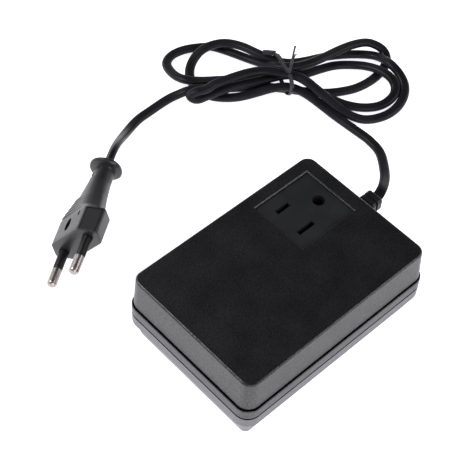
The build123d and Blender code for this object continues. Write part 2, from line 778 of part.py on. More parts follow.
def knot_direction(index):
    """The cord's direction at a knot."""
    heading = math.radians(hank_knots[index][3])
    flat = hank_right * math.cos(heading) + hank_up * math.sin(heading)
    return (flat + Vector(0, 0, slope_at(index))).normalized()


def arc_joint(start, start_way, end, end_way):
    """The point where two tangent arcs between two knots meet, and the direction there."""
    chord = end - start
    both = start_way + end_way
    spread = 2 * (1 - start_way.dot(end_way))
    along = chord.dot(both)
    if spread < straight_limit ** 2:
        reach = chord.dot(chord) / (4 * chord.dot(end_way))
    else:
        reach = (math.sqrt(along * along + spread * chord.dot(chord)) - along) / spread
    joint = (start + end + (start_way - end_way) * reach) * 0.5
    leg = (joint - start).normalized()
    return joint, leg * (2 * leg.dot(start_way)) - start_way


def arc_radius(start, way, end):
    """The radius of the arc that leaves start in this direction and ends there."""
    chord = end - start
    half_turn = math.radians(way.get_angle(chord))
    return chord.length / (2 * math.sin(half_turn)) if half_turn > straight_limit else math.inf


def arc_points(start, way, end):
    """Points along such an arc, without its last."""
    chord = end - start
    half_turn = math.radians(way.get_angle(chord))
    if half_turn < straight_limit:
        return [start + chord * (step / dots_per_arc) for step in range(dots_per_arc)]
    radius = chord.length / (2 * math.sin(half_turn))
    inward = (chord.normalized() - way * math.cos(half_turn)).normalized()
    places = []
    for step in range(dots_per_arc):
        turn = 2 * half_turn * step / dots_per_arc
        places.append(start + inward * (radius * (1 - math.cos(turn))) + way * (radius * math.sin(turn)))
    return places


def least_gap(places, diameter):
    """The least clear distance between two stretches of the cord that aren't neighbours along it."""
    travelled = [0.0]
    for first, second in zip(places, places[1:]):
        travelled.append(travelled[-1] + math.dist(first, second))
    least = math.inf
    for index, place in enumerate(places):
        for other in range(index + 1, len(places)):
            if travelled[other] - travelled[index] > neighbour_share * diameter:
                least = min(least, math.dist(place, places[other]))
    return least - diameter


hank_places = [hank_point(*knot[:3]) for knot in hank_knots]
hank_ways = [knot_direction(index) for index in range(len(hank_knots))]
hank_entry = hank_places[0] - hank_ways[0] * cord_diameter
hank_exit = hank_places[-1] + hank_ways[-1] * cord_diameter
hank_radii = []
hank_dots = []
with BuildPart() as cord_hank:
    with BuildLine() as hank_route:
        Line(hank_entry, hank_places[0])
        for index in range(len(hank_places) - 1):
            start, end = hank_places[index], hank_places[index + 1]
            start_way, end_way = hank_ways[index], hank_ways[index + 1]
            joint, joint_way = arc_joint(start, start_way, end, end_way)
            for first, way, second in ((start, start_way, joint), (joint, joint_way, end)):
                radius = arc_radius(first, way, second)
                hank_radii.append(radius)
                hank_dots += arc_points(first, way, second)
                if radius == math.inf:
                    Line(first, second)
                else:
                    TangentArc(first, second, tangent=way)
        Line(hank_places[-1], hank_exit)
    hank_path = hank_route.wire()
    with BuildSketch(Plane(origin=hank_entry, z_dir=hank_ways[0])):
        Circle(cord_diameter / 2)
    sweep(path=hank_path)
keep(cord_hank, "cord_hank")
hank_length = hank_path.length
dots = [(dot.X, dot.Y, dot.Z) for dot in hank_dots]
print("hank least gap %.2f, tightest radius %.2f, length %.1f" % (
    least_gap(dots, cord_diameter), min(hank_radii), hank_length))
print("hank volume share %.4f" % (cord_hank.part.volume / (math.pi * cord_diameter ** 2 / 4 * hank_length)))

# Cord from the strain relief down to the hank
lead_points = [
    (relief_x, relief_end, relief_z), (relief_x, relief_end + lead_straight, relief_z), (-6.4, 69.4, 19.2),
    (-12.6, 79.0, 11.4), (-20.6, 88.2, 4.9), tuple(hank_entry - hank_ways[0] * lead_landing),
    tuple(hank_entry)]
cord_lead, lead_radii, lead_length = tube(lead_points, cord_diameter / 2)
keep(cord_lead, "cord_from_case")
print("lead radii", [round(radius, 1) for radius in lead_radii], "length %.1f" % lead_length)
print("lead volume share %.4f" % (cord_lead.part.volume / (math.pi * cord_diameter ** 2 / 4 * lead_length)))

# Plug: its own plane has X across the pins, Y out of the broad side and Z towards the pins
plug_plane = Plane(origin=plug_front, x_dir=plug_across, z_dir=plug_axis)


def plug_place(across, out, forward):
    """A place near the plug in its own plane's measures."""
    return plug_plane.from_local_coords(Vector(across, out, forward))


def plug_section(back, sizes):
    """An eight-sided section of the plug, this far behind its front."""
    ribbed_half, ribbed_face, carrier_half, carrier_face, thickness, end_half = sizes
    with BuildSketch(plug_plane.offset(-back)) as face:
        with BuildLine():
            Polyline((-ribbed_half, -end_half), (-ribbed_face, -thickness), (carrier_face, -thickness),
                     (carrier_half, -end_half), (carrier_half, end_half), (carrier_face, thickness),
                     (-ribbed_face, thickness), (-ribbed_half, end_half), close=True)
        make_face()
    return face.sketch


neck_back = plug_length - flange_setback - flange_thickness
front_sizes = (plug_half_width, plug_face_half, plug_half_width, plug_face_half, plug_half_thickness, plug_end_half)
neck_sizes = (plug_neck_half, plug_neck_half / 2, plug_neck_half, plug_neck_half / 2, plug_neck_thick,
              plug_neck_thick / 2)
plug_stops = [(0, front_sizes), (plug_straight, front_sizes)]
plug_stops += [(section[0], section[1:]) for section in grip_sections]
plug_stops += [(neck_back, neck_sizes)]


def plug_sizes(back):
    """The plug's section sizes at a distance behind its front."""
    for (low, first), (high, second) in zip(plug_stops, plug_stops[1:]):
        if back <= high:
            share = (back - low) / (high - low)
            return [one + (other - one) * share for one, other in zip(first, second)]


bevel_across = plug_half_width - plug_face_half
bevel_out = plug_half_thickness - plug_end_half
bevel_way = plug_plane.x_dir * bevel_out + plug_plane.y_dir * bevel_across
carrier_plane = Plane(
    origin=plug_place(plug_face_half + bevel_across / 2, plug_end_half + bevel_out / 2, -plug_straight / 2),
    x_dir=plug_axis, z_dir=bevel_way)
pin_planes = []
for side in (-1, 1):
    root = plug_place(side * pin_spacing_root / 2, 0, 0)
    tip = plug_place(side * pin_spacing_tip / 2, 0, pin_length)
    pin_planes.append(Plane(origin=root, z_dir=tip - root))
with BuildPart() as plug_body:
    for first, second in zip(plug_stops, plug_stops[1:]):
        loft([plug_section(*first), plug_section(*second)], ruled=True)
    # cord flange and its short boot
    with BuildSketch(plug_plane.offset(-neck_back)):
        Ellipse(flange_half_width, flange_half_thickness)
    extrude(amount=-flange_thickness)
    with BuildSketch(plug_plane.offset(-neck_back - flange_thickness)):
        Ellipse(plug_neck_half, plug_neck_thick * plug_boot_share)
    extrude(amount=-flange_setback)
    # grip ribs down the side away from the carrier
    for step in range(rib_steps):
        back = rib_start + step * rib_pitch + rib_width
        sizes = plug_sizes(back)
        sizes[0] += rib_height
        sizes[1] += rib_height
        add(extrude(plug_section(back, sizes), rib_width, dir=plug_plane.z_dir, mode=Mode.PRIVATE))
    # window in the bevelled edge for the pin carrier
    with BuildSketch(carrier_plane):
        Rectangle(carrier_length, carrier_width)
    extrude(amount=-carrier_depth, mode=Mode.SUBTRACT)
    # oval holes in both broad sides, behind the front
    for side in (-1, 1):
        with BuildSketch(Plane(origin=plug_place(-hole_off_middle, side * plug_half_thickness, -hole_back),
                               x_dir=plug_axis, z_dir=plug_plane.y_dir * side)):
            Ellipse(hole_long / 2, hole_wide / 2)
        extrude(amount=-hole_depth, mode=Mode.SUBTRACT)
    # sockets of the pins
    for plane in pin_planes:
        with BuildSketch(plane.offset(-pin_root)):
            Circle(sleeve_radius + fit_gap)
        extrude(amount=pin_root + overrun, mode=Mode.SUBTRACT)
keep(plug_body, "plug_body")
print("plug body volume %.0f, lowest %.2f" % (plug_body.part.volume, plug_body.part.bounding_box().min.Z))

with BuildPart() as pin_carrier:
    with BuildSketch(carrier_plane.offset(-carrier_depth)):
        Rectangle(carrier_length - 2 * fit_gap, carrier_width - 2 * fit_gap)
    extrude(amount=carrier_depth - carrier_recess)
keep(pin_carrier, "pin_carrier")

# Plug pins, with a thinner stretch under the sleeves
with BuildPart() as plug_pins:
    for plane in pin_planes:
        with BuildSketch(plane.offset(-pin_root)):
            Circle(pin_root_radius)
        extrude(amount=pin_root - sleeve_root)
        with BuildSketch(plane.offset(-sleeve_root)):
            Circle(pin_core_radius)
        extrude(amount=pin_length + sleeve_root - pin_bare)
    for plane in pin_planes:
        with BuildSketch(plane.offset(pin_length - pin_bare)):
            Circle(pin_radius)
        extrude(amount=pin_bare)
        tip = plane.origin + plane.z_dir * pin_length
        rims = plug_pins.edges().filter_by(GeomType.CIRCLE)
        fillet(rims.sort_by(lambda edge: (edge.center() - tip).length)[:1], pin_tip_round)
keep(plug_pins, "plug_pins")

with BuildPart() as pin_sleeves:
    for plane in pin_planes:
        with BuildSketch(plane.offset(-sleeve_root)):
            Circle(sleeve_radius)
            Circle(pin_core_radius + thread_gap, mode=Mode.SUBTRACT)
        extrude(amount=pin_length + sleeve_root - pin_bare)
keep(pin_sleeves, "pin_sleeves")

# Cord from the hank to the plug
plug_end = plug_place(0, 0, -plug_length)
tail_points = [
    tuple(hank_exit), tuple(hank_exit + hank_ways[-1] * tail_start), (-114.6, 26.0, 1.9),
    (-111.3, 17.6, 3.2), (-106.2, 9.8, 8.0), (-101.6, 4.4, 13.4),
    tuple(plug_place(0, 0, -plug_length - tail_landing)), tuple(plug_end)]
cord_tail_piece, tail_radii, tail_length = tube(tail_points, cord_diameter / 2)
keep(cord_tail_piece, "cord_to_plug")
print("tail radii", [round(radius, 1) for radius in tail_radii], "length %.1f" % tail_length)
print("tail volume share %.4f" % (
    cord_tail_piece.part.volume / (math.pi * cord_diameter ** 2 / 4 * tail_length)))

# Twist tie: a band round the waist, its ends twisted together on top
tie_plane = Plane(origin=hank_point(0, tie_shift, tie_low + tie_inner_height / 2),
                  x_dir=hank_up, z_dir=hank_right)
tie_top = tie_low + tie_inner_height + tie_thickness
tie_ends = []
for points, radius in ((twist_points, tie_twist_radius), (long_tail_points, tie_tail_radius),
                       (short_tail_points, tie_tail_radius)):
    places = [tuple(hank_point(right, up, tie_top + height)) for right, up, height in points]
    tie_ends.append(tube(places, radius)[0])
with BuildPart() as twist_tie:
    with BuildSketch(tie_plane.offset(-tie_width / 2)):
        RectangleRounded(tie_inner_width + 2 * tie_thickness, tie_inner_height + 2 * tie_thickness,
                         tie_inner_round + tie_thickness)
        RectangleRounded(tie_inner_width, tie_inner_height, tie_inner_round, mode=Mode.SUBTRACT)
    extrude(amount=tie_width)
    for end in tie_ends:
        add(end.part)
keep(twist_tie, "twist_tie")
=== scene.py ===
import math

import bmesh
import bpy
from mathutils import Matrix, Vector


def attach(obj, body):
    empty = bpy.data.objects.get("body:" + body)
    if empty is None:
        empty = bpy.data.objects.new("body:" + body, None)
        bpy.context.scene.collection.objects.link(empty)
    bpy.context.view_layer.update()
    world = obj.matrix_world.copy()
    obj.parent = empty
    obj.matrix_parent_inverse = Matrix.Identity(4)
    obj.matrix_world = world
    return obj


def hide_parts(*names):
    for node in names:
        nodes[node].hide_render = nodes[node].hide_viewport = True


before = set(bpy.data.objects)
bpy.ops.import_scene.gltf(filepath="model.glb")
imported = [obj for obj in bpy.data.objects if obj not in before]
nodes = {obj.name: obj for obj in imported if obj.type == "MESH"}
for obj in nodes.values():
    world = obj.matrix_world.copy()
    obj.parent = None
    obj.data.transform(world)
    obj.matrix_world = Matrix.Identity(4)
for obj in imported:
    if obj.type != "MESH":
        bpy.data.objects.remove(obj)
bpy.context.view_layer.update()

# Metres, +Z up. The origin is the middle of the case's underside, and +Y points to the cord's end.
scene = bpy.context.scene
millimetre = 0.001
upwards = Vector((0.0, 0.0, 1.0))

# Camera, found from the case's eight corners and the outlet in the photograph
camera_place = Vector((0.18504, -0.2197, 0.42195))
camera_right = Vector((0.68001, 0.73178, 0.04557))
camera_view = Vector((-0.4225, 0.4421, -0.791))
camera_lens = 98.53
camera_sensor = 36.0

# Studio
floor_size = 6.0
floor_colour = (0.82, 0.82, 0.82, 1.0)
floor_roughness = 0.9
floor_shine = 0.1
floor_glow = 0.9
floor_glow_colour = (0.97, 0.965, 1.02, 1.0)
# Each stop of the sky: its height, from 0 at the horizon to 1 overhead, and its grey
sky_stops = [(0.0, (1.0, 1.0, 1.0)), (0.25, (0.8, 0.8, 0.8)), (0.6, (0.03, 0.03, 0.033))]
sky_strength = 0.9
# Each lamp: name, place, width and power in watts
lamps = [
    ("key", (-0.9, -0.55, 1.2), 0.8, 16.0), ("fill", (1.1, -0.6, 0.7), 0.9, 8.0),
    ("rear", (0.9, 0.9, 1.0), 0.8, 7.0)]

# Cord: a flat twin lead. Beside the relief its broad face turns to lead_face, and levels out over
# lead_roll_over. It turns into the plug's own plane over plug_turn_over.
cord_width = 0.0044
cord_thickness = 0.003
cord_groove = 0.00012
cord_steps = 8
cord_round_steps = 8
lead_face = Vector((0.42, -0.44, 0.79))
lead_roll_over = 0.07
plug_turn_over = 0.05
relief_end = Vector((-0.0036, 0.05747, 0.0248))
# Control points near the relief, measured from its end, and then down to the hank
relief_points = [(0.0, -0.003, 0.0), (0.0, 0.0014, 0.0002), (-0.0017, 0.0056, -0.0004)]
lead_points = [
    (-0.009, 0.0692, 0.0191), (-0.015, 0.0781, 0.0115), (-0.0225, 0.0869, 0.005), (-0.0315, 0.0948, 0.0018),
    (-0.0399, 0.0959, 0.0018)]
# Control points from the hank to the plug, and the last ones' places behind the plug's front
tail_points = [
    (-0.1149, 0.0335, 0.0019), (-0.1146, 0.026, 0.0019), (-0.1113, 0.0176, 0.0032), (-0.1062, 0.0098, 0.008),
    (-0.1016, 0.0044, 0.0134)]
tail_back = 0.0488

# Hank: its own axes run along its loops, across them and upwards
hank_middle = Vector((-0.0892, 0.0925, 0.0))
hank_right = Vector((0.68, 0.7332, 0.0)).normalized()
hank_up = Vector((-0.7332, 0.68, 0.0)).normalized()

# Plug: its own axes run across the pins, out of the broad side and towards the pins
plug_front = Vector((-0.0711, -0.0424, 0.01325))
plug_axis = Vector((0.533, -0.842, -0.083)).normalized()
plug_across = Vector((0.529, 0.255, 0.81)).normalized()
plug_out = plug_axis.cross(plug_across).normalized()
plug_half_width = 0.0159
plug_half_thickness = 0.0059
plug_face_half = 0.0106
plug_end_half = 0.0005
plug_straight = 0.0114
plug_length = 0.042
plug_round = 0.0011
flange_back = 0.0376
flange_end = 0.0398
flange_half_width = 0.0076
flange_half_thickness = 0.007
ribs_start = 0.0134
ribs_end = 0.02215
rib_pitch = 0.00175
rib_share = 0.55
rib_height = 0.0006
swell_lift_share = 0.6
notch_back = 0.0328
notch_half = 0.0009
notch_depth = 0.0009
# The section at the front, in the order of the stops below
front_section = (
    plug_half_width, plug_face_half, plug_half_width, plug_face_half, plug_half_thickness, plug_end_half)
# Each stop: how far behind the front, then the half width and the broad face's half on the ribbed side,
# the same on the carrier's side, the half thickness, and half of a narrow end
plug_stops = [
    (0.0, *front_section), (plug_straight, *front_section),
    (0.0122, 0.0159, 0.01055, 0.0138, 0.0088, 0.0057, 0.0007),
    (0.0153, 0.0153, 0.0101, 0.0098, 0.0056, 0.0055, 0.0008),
    (0.018, 0.0132, 0.0084, 0.0087, 0.0048, 0.0053, 0.001),
    (0.023, 0.0086, 0.0052, 0.007, 0.0036, 0.0049, 0.0012),
    (0.0305, 0.0058, 0.003, 0.0048, 0.0024, 0.00435, 0.0015),
    (flange_back, 0.0043, 0.00215, 0.0043, 0.00215, 0.0041, 0.00205)]

# Rings of the plug's mesh. The corners are rounder behind the straight part: round_more over round_over.
front_edge = 0.0007
front_edge_steps = 3
first_ring = 0.003
ring_step = 0.0002
last_ring_ahead = 0.0008
plug_corners = 8
corner_steps = 4
corner_most_share = 0.48
round_over = 0.006
round_more = 0.003
neck_ahead = 0.0003
neck_half_width = 0.0047
neck_half_thickness = 0.0044
flange_points = plug_corners * (corner_steps + 1)
flange_first_degrees = 32
flange_lozenge_share = 0.035
# Each stop: how far behind the flange's front, or behind its end for the collar, and the share of its size
flange_stops = [
    (0.0, 0.84), (0.0001, 0.93), (0.0006, 0.99), (0.0011, 1.0), (0.0016, 0.98), (0.002, 0.9), (0.0022, 0.78)]
collar_stops = [(0.0001, 0.6), (0.0012, 0.54), (0.002, 0.5), (0.0022, 0.44)]

# Hollows of the plug: the carrier's window, the two holes, the shallow mark and the pins' sockets
window_half_sizes = (0.0053, 0.0033, 0.0019)
hole_across = -0.0009
hole_back = 0.0066
hole_half_sizes = (0.003, 0.0019, 0.0014)
mark_across = 0.0062
mark_back = 0.0096
mark_half_sizes = (0.0011, 0.0008, 0.00025)
socket_across = 0.0094
socket_half_sizes = (0.0022, 0.0022, 0.0004)
oval_points = 28
plug_smooth_degrees = 28

# The middle of each pin's bare end and the way it points
pin_lines = [
    (Vector((-0.069289, -0.055036, 0.004971)), Vector((0.551333, -0.83251, -0.054394))),
    (Vector((-0.059807, -0.050465, 0.019489)), Vector((0.514034, -0.850491, -0.111507)))]
# Each stop along a sleeve: how far behind that middle, and the radius
sleeve_stops = [(0.0126, 0.00215), (0.0112, 0.0021), (0.0088, 0.00198), (0.0034, 0.00198), (0.00324, 0.0019)]
sleeve_sides = 32

# Twist tie: a flat ribbon with a wire in its middle. Its places are in the hank's own axes.
tie_width = 0.002
tie_thickness = 0.0003
tie_wire = 0.0004
ribbon_flat_share = 0.9
wire_shoulder_share = 0.6
wire_top_share = 1.2
tie_steps = 8
tie_smooth_degrees = 50
tie_heart = (-0.0012, -0.0002, 0.0063)
tie_loop = [
    (0.0012, -0.006, 0.0126), (0.0022, -0.0092, 0.0112), (0.0026, -0.01, 0.007), (0.002, -0.0094, 0.0026),
    (0.0006, -0.0062, 0.0007), (-0.001, 0.0, 0.0006), (-0.003, 0.006, 0.0008), (-0.0046, 0.0094, 0.0032),
    (-0.005, 0.0098, 0.0076), (-0.0046, 0.0088, 0.0108), (-0.0034, 0.0056, 0.0122),
    (-0.0014, -0.0004, 0.0124), (0.0008, -0.005, 0.013)]
twist_line = [
    (0.001, -0.0052, 0.0126), (0.0014, -0.004, 0.0141), (0.0018, -0.0026, 0.0158), (0.0022, -0.0014, 0.0174)]
twist_steps = 16
twist_turns = 2.0
twist_radius = 0.0004
twist_width = 0.0013
twist_wire_share = 0.8
tail_leaning = (1.0, -0.3, 0.2)
tail_flat = (0.4, 0.8, 0.6)
# Each tail: its line, its width, and the way that its width runs
tie_tails = [
    ([(0.002, -0.0018, 0.0172), (0.0024, -0.0002, 0.0188), (0.0028, 0.0012, 0.0204),
      (0.0032, 0.0026, 0.0219)], 0.0009, tail_leaning),
    ([(0.002, -0.0018, 0.0172), (0.0028, 0.0004, 0.0174), (0.0034, 0.0026, 0.016),
      (0.0041, 0.0047, 0.0144)], 0.0013, tail_leaning),
    ([(-0.0046, 0.0088, 0.011), (-0.0063, 0.0091, 0.0107), (-0.0084, 0.0097, 0.0104),
      (-0.0104, 0.0101, 0.0101)], 0.0023, tail_flat)]

# Case finish: each line of painted shade, in the seam and where the wall meets the rim, has a height and half
# a width
seam_painted_shade = (0.0151, 0.00045)
ledge_painted_shade = (0.0206, 0.0004)
painted_shade_colour = (0.001, 0.001, 0.001, 1.0)
speckle_grain = 0.0006
speckle_detail = 1.0
speckle_range = (0.1, 1.9)
upper_shine = 0.7
lower_shine = 1.0

# Cord finish: between these two places along X the lead's shine goes from jacket_shine to dull_shine
jacket_shine = 0.18
dull_shine = 0.01
dull_from = -0.045
dull_to = -0.02

# All finishes: a ramp's stops are where its dark and its light tone lie. A gloss drift is how far the
# roughness falls and rises.
tone_stops = (0.3, 0.7)
band_stops = (0.1, 0.8)
tone_grain = 0.012
grain_detail = 2.0
moulded_gloss_drift = (0.05, 0.07)
moulded_bump_strength = 0.8
metal_detail = 3.0
metal_gloss_drift = (0.06, 0.1)
metal_bump_strength = 0.5
metal_depth_share = 0.05
band_detail = 1.0
band_distortion = 0.6
band_gloss_drift = 0.1
# The turn of a wave texture, in radians, over one unit of its coordinates
wave_turn = 20.0

# Meshes
smooth_degrees = 35
spline_order = 3


# Helpers

def new_object(name, mesh, finish):
    """A piece of the part, which rides on its one body."""
    piece = bpy.data.objects.new(name, mesh)
    scene.collection.objects.link(piece)
    mesh.materials.clear()
    mesh.materials.append(finish)
    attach(piece, "root")
    return piece


def smooth(mesh, degrees=smooth_degrees):
    """Smooth shading that keeps the edges sharper than this angle."""
    mesh.polygons.foreach_set("use_smooth", [True] * len(mesh.polygons))
    mesh.set_sharp_from_angle(angle=math.radians(degrees))
    mesh.update()


def ring_mesh(name, rings):
    """A mesh through rings with the same number of points, with a cap at each end."""
    mesh = bpy.data.meshes.new(name)
    count = len(rings[0])
    points = [point for ring in rings for point in ring]
    faces = []
    for row in range(len(rings) - 1):
        here, there = row * count, (row + 1) * count
        for column in range(count):
            beside = (column + 1) % count
            faces.append((here + column, here + beside, there + beside, there + column))
    faces.append(tuple(range(count))[::-1])
    faces.append(tuple(range(len(points) - count, len(points))))
    mesh.from_pydata([tuple(point) for point in points], [], faces)
    tidy = bmesh.new()
    tidy.from_mesh(mesh)
    bmesh.ops.recalc_face_normals(tidy, faces=tidy.faces)
    tidy.to_mesh(mesh)
    tidy.free()
    smooth(mesh)
    return mesh


def spline_points(name, points, resolution):
    """Places along the smooth NURBS spline that has these control points."""
    curve = bpy.data.curves.new(name, "CURVE")
    curve.dimensions = "3D"
    spline = curve.splines.new("NURBS")
    spline.points.add(len(points) - 1)
    for point, place in zip(spline.points, points):
        point.co = (*place, 1.0)
    spline.order_u = spline_order
    spline.use_endpoint_u = True
    spline.resolution_u = resolution
    carrier = bpy.data.objects.new(name, curve)
    scene.collection.objects.link(carrier)
    mesh = bpy.data.meshes.new_from_object(carrier)
    places = [vertex.co.copy() for vertex in mesh.vertices]
    bpy.data.objects.remove(carrier)
    bpy.data.curves.remove(curve)
    bpy.data.meshes.remove(mesh)
    return places


def tangents(places):
    """The direction of a line at each of its points."""
    ways = []
    for index in range(len(places)):
        before = places[max(index - 1, 0)]
        after = places[min(index + 1, len(places) - 1)]
        ways.append((after - before).normalized())
    return ways


def joined_mesh(name, meshes):
    """One mesh from several."""
    joined = bmesh.new()
    for mesh in meshes:
        joined.from_mesh(mesh)
    whole = bpy.data.meshes.new(name)
    joined.to_mesh(whole)
    joined.free()
    return whole


def swept_rings(places, section, sides):
    """Rings of a flat section along a line, its width along the given sides."""
    rings = []
    for place, way, side in zip(places, tangents(places), sides):
        wide = (side - way * side.dot(way)).normalized()
        high = way.cross(wide)
        rings.append([place + wide * x + high * y for x, y in section])
    return rings


# Camera

def make_camera():
    """The photograph's camera, with its axes made square to each other."""
    back = -camera_view.normalized()
    right = (camera_right - back * camera_right.dot(back)).normalized()
    up = back.cross(right)
    lens = bpy.data.cameras.new("camera")
    lens.lens = camera_lens
    lens.sensor_width = camera_sensor
    camera = bpy.data.objects.new("camera", lens)
    camera.matrix_world = Matrix.LocRotScale(
        camera_place, Matrix((right, up, back)).transposed().to_quaternion(), None)
    scene.collection.objects.link(camera)
    scene.camera = camera


# Materials

def material(name):
    """A new node material: its nodes, links and main shader."""
    made = bpy.data.materials.new(name)
    made.use_nodes = True
    tree = made.node_tree
    return made, tree, tree.nodes["Principled BSDF"]


def noise(tree, scale, detail, stretch=None):
    """A noise texture on the piece's own coordinates, with a size in metres for one grain."""
    place = tree.nodes.new("ShaderNodeTexCoord")
    texture = tree.nodes.new("ShaderNodeTexNoise")
    texture.inputs["Scale"].default_value = 1.0 / scale
    texture.inputs["Detail"].default_value = detail
    if stretch is None:
        tree.links.new(place.outputs["Object"], texture.inputs["Vector"])
    else:
        squeeze = tree.nodes.new("ShaderNodeMapping")
        squeeze.inputs["Scale"].default_value = stretch
        tree.links.new(place.outputs["Object"], squeeze.inputs["Vector"])
        tree.links.new(squeeze.outputs["Vector"], texture.inputs["Vector"])
    return texture


def colour_ramp(tree, source, stops):
    """Colours along a texture's value."""
    ramp = tree.nodes.new("ShaderNodeValToRGB")
    elements = ramp.color_ramp.elements
    while len(elements) < len(stops):
        elements.new(0.5)
    for element, (position, colour) in zip(elements, stops):
        element.position = position
        element.color = (*colour, 1.0)
    tree.links.new(source, ramp.inputs["Fac"])
    return ramp.outputs["Color"]


def value_range(tree, source, low, high):
    """A texture's value mapped to a range."""
    mapped = tree.nodes.new("ShaderNodeMapRange")
    mapped.inputs["To Min"].default_value = low
    mapped.inputs["To Max"].default_value = high
    tree.links.new(source, mapped.inputs["Value"])
    return mapped.outputs["Result"]


def bump(tree, shader, source, depth, strength=1.0):
    """Fine relief from a texture, with its depth in metres."""
    relief = tree.nodes.new("ShaderNodeBump")
    relief.inputs["Strength"].default_value = strength
    relief.inputs["Distance"].default_value = depth
    tree.links.new(source, relief.inputs["Height"])
    tree.links.new(relief.outputs["Normal"], shader.inputs["Normal"])


def tones(tree, source, stops, dark, light):
    """A dark and a light tone along a texture's value."""
    return colour_ramp(tree, source, [(stops[0], dark), (stops[1], light)])


def place_along(tree, axis):
    """The piece's own coordinate along one axis."""
    place = tree.nodes.new("ShaderNodeTexCoord")
    split = tree.nodes.new("ShaderNodeSeparateXYZ")
    tree.links.new(place.outputs["Object"], split.inputs["Vector"])
    return split.outputs[axis]


def math_node(tree, operation):
    """A node that works out one value from two or three."""
    made = tree.nodes.new("ShaderNodeMath")
    made.operation = operation
    return made


def moulded(name, dark, light, roughness, grain, depth, shine=0.5):
    """Moulded plastic: a fine sparked grain, slow changes of tone and of gloss."""
    made, tree, shader = material(name)
    slow = noise(tree, tone_grain, grain_detail)
    fine = noise(tree, grain, grain_detail)
    tree.links.new(tones(tree, slow.outputs["Fac"], tone_stops, dark, light), shader.inputs["Base Color"])
    smoother, rougher = moulded_gloss_drift
    gloss = value_range(tree, slow.outputs["Fac"], roughness - smoother, roughness + rougher)
    tree.links.new(gloss, shader.inputs["Roughness"])
    shader.inputs["Specular IOR Level"].default_value = shine
    bump(tree, shader, fine.outputs["Fac"], depth, moulded_bump_strength)
    return made


def paint_line_shade(made, shine, lines):
    """Painted shade: darken the narrow lines that run round the case and take away their shine, and a speckle
    in the rest of its shine.
    """
    tree = made.node_tree
    shader = tree.nodes["Principled BSDF"]
    height_here = place_along(tree, "Z")
    painted_shade_mask = None
    for height, half in lines:
        near = math_node(tree, "COMPARE")
        near.inputs[1].default_value = height
        near.inputs[2].default_value = half
        tree.links.new(height_here, near.inputs[0])
        if painted_shade_mask is None:
            painted_shade_mask = near.outputs["Value"]
            continue
        either = math_node(tree, "MAXIMUM")
        tree.links.new(painted_shade_mask, either.inputs[0])
        tree.links.new(near.outputs["Value"], either.inputs[1])
        painted_shade_mask = either.outputs["Value"]
    shaded = tree.nodes.new("ShaderNodeMixRGB")
    shaded.inputs["Color2"].default_value = painted_shade_colour
    tree.links.new(painted_shade_mask, shaded.inputs["Fac"])
    tree.links.new(shader.inputs["Base Color"].links[0].from_socket, shaded.inputs["Color1"])
    tree.links.new(shaded.outputs["Color"], shader.inputs["Base Color"])
    grains = noise(tree, speckle_grain, speckle_detail)
    speckle = math_node(tree, "MULTIPLY")
    tree.links.new(value_range(tree, painted_shade_mask, shine, 0.0), speckle.inputs[0])
    tree.links.new(value_range(tree, grains.outputs["Fac"], *speckle_range), speckle.inputs[1])
    tree.links.new(speckle.outputs["Value"], shader.inputs["Specular IOR Level"])


def duller_lead(made):
    """Less shine on the stretch of lead beside the strain relief."""
    tree = made.node_tree
    mapped = tree.nodes.new("ShaderNodeMapRange")
    mapped.inputs["From Min"].default_value = dull_from
    mapped.inputs["From Max"].default_value = dull_to
    mapped.inputs["To Min"].default_value = jacket_shine
    mapped.inputs["To Max"].default_value = dull_shine
    tree.links.new(place_along(tree, "X"), mapped.inputs["Value"])
    tree.links.new(mapped.outputs["Result"], tree.nodes["Principled BSDF"].inputs["Specular IOR Level"])


def metal(name, dark, light, roughness, streak, stretch):
    """Metal with fine drawn or rolled streaks."""
    made, tree, shader = material(name)
    lines = noise(tree, streak, metal_detail, stretch)
    tree.links.new(tones(tree, lines.outputs["Fac"], tone_stops, dark, light), shader.inputs["Base Color"])
    smoother, rougher = metal_gloss_drift
    gloss = value_range(tree, lines.outputs["Fac"], roughness - smoother, roughness + rougher)
    tree.links.new(gloss, shader.inputs["Roughness"])
    shader.inputs["Metallic"].default_value = 1.0
    bump(tree, shader, lines.outputs["Fac"], streak * metal_depth_share, metal_bump_strength)
    return made


def banded(name, dark, light, roughness, pitch, direction, depth, metallic):
    """Parallel turns or sheets: bands across one direction."""
    made, tree, shader = material(name)
    place = tree.nodes.new("ShaderNodeTexCoord")
    wave = tree.nodes.new("ShaderNodeTexWave")
    wave.bands_direction = direction
    wave.inputs["Scale"].default_value = 2 * math.pi / (wave_turn * pitch)
    wave.inputs["Distortion"].default_value = band_distortion
    wave.inputs["Detail"].default_value = band_detail
    tree.links.new(place.outputs["Object"], wave.inputs["Vector"])
    tree.links.new(tones(tree, wave.outputs["Fac"], band_stops, dark, light), shader.inputs["Base Color"])
    gloss = value_range(tree, wave.outputs["Fac"], roughness + band_gloss_drift, roughness)
    tree.links.new(gloss, shader.inputs["Roughness"])
    shader.inputs["Metallic"].default_value = metallic
    bump(tree, shader, wave.outputs["Fac"], depth)
    return made


